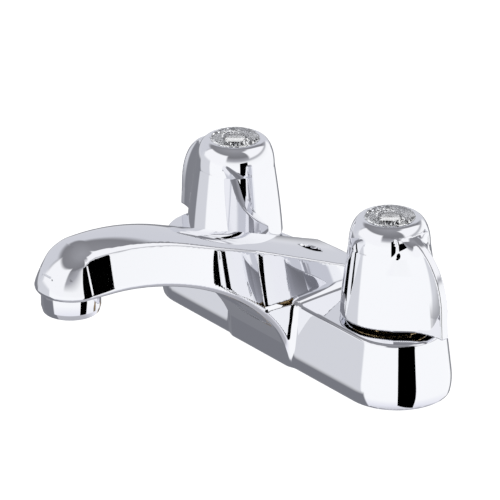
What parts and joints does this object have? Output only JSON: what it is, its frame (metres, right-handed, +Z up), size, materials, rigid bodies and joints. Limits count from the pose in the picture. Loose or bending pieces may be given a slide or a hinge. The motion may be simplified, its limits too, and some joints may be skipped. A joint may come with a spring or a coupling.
{
  "type": "centerset bathroom faucet",
  "caption": "Two-handle centerset bathroom faucet with a one-piece cast base and a low rising spout, metal lever handles with clear index buttons, and an aerator.",
  "frame": {"origin": "on the deck, midway between the two inlets, at the foot of the lift rod's hole", "axes": "+Z up out of the deck, -Y along the spout towards the user, +X towards the cold side"},
  "size_m": [0.1726, 0.1592, 0.1296],
  "materials": {
    "chrome": "polished",
    "brass": "machined",
    "steel": "machined",
    "rubber": "matte",
    "foam": "matte closed-cell foam",
    "ceramic": "lapped",
    "white_plastic": "moulded",
    "clear_acrylic": "clear",
    "hot_index": "silvered, letter H",
    "cold_index": "silvered, letter C"
  },
  "bodies": {
    "fixture": {"body": "chrome", "base_gasket": "foam", "hot_shank": "brass", "cold_shank": "brass", "hot_mounting_washer": "steel", "cold_mounting_washer": "steel", "hot_mounting_nut": "brass", "cold_mounting_nut": "brass", "hot_seat_seal": "rubber", "cold_seat_seal": "rubber", "hot_fixed_disc": "ceramic", "cold_fixed_disc": "ceramic", "hot_cartridge": "brass", "cold_cartridge": "brass", "hot_cartridge_oring": "rubber", "cold_cartridge_oring": "rubber", "hot_bonnet_nut": "brass", "cold_bonnet_nut": "brass", "aerator_housing": "chrome", "aerator_insert": "white_plastic", "aerator_screen": "steel", "aerator_washer": "rubber"},
    "hot_handle_set": {"hot_moving_disc": "ceramic", "hot_stem": "brass", "hot_stem_oring": "rubber", "hot_handle": "chrome", "hot_handle_screw": "steel", "hot_index_disc": "hot_index", "hot_index_button": "clear_acrylic"},
    "cold_handle_set": {"cold_moving_disc": "ceramic", "cold_stem": "brass", "cold_stem_oring": "rubber", "cold_handle": "chrome", "cold_handle_screw": "steel", "cold_index_disc": "cold_index", "cold_index_button": "clear_acrylic"}
  },
  "joints": [
    {"name": "hot_handle_turn", "type": "hinge", "parent": "fixture", "child": "hot_handle_set", "pos_m": [-0.0508, 0, 0], "axis": [0, 0, 1], "range_deg": [0, 90]},
    {"name": "cold_handle_turn", "type": "hinge", "parent": "fixture", "child": "cold_handle_set", "pos_m": [0.0508, 0, 0], "axis": [0, 0, -1], "range_deg": [0, 90]}
  ]
}
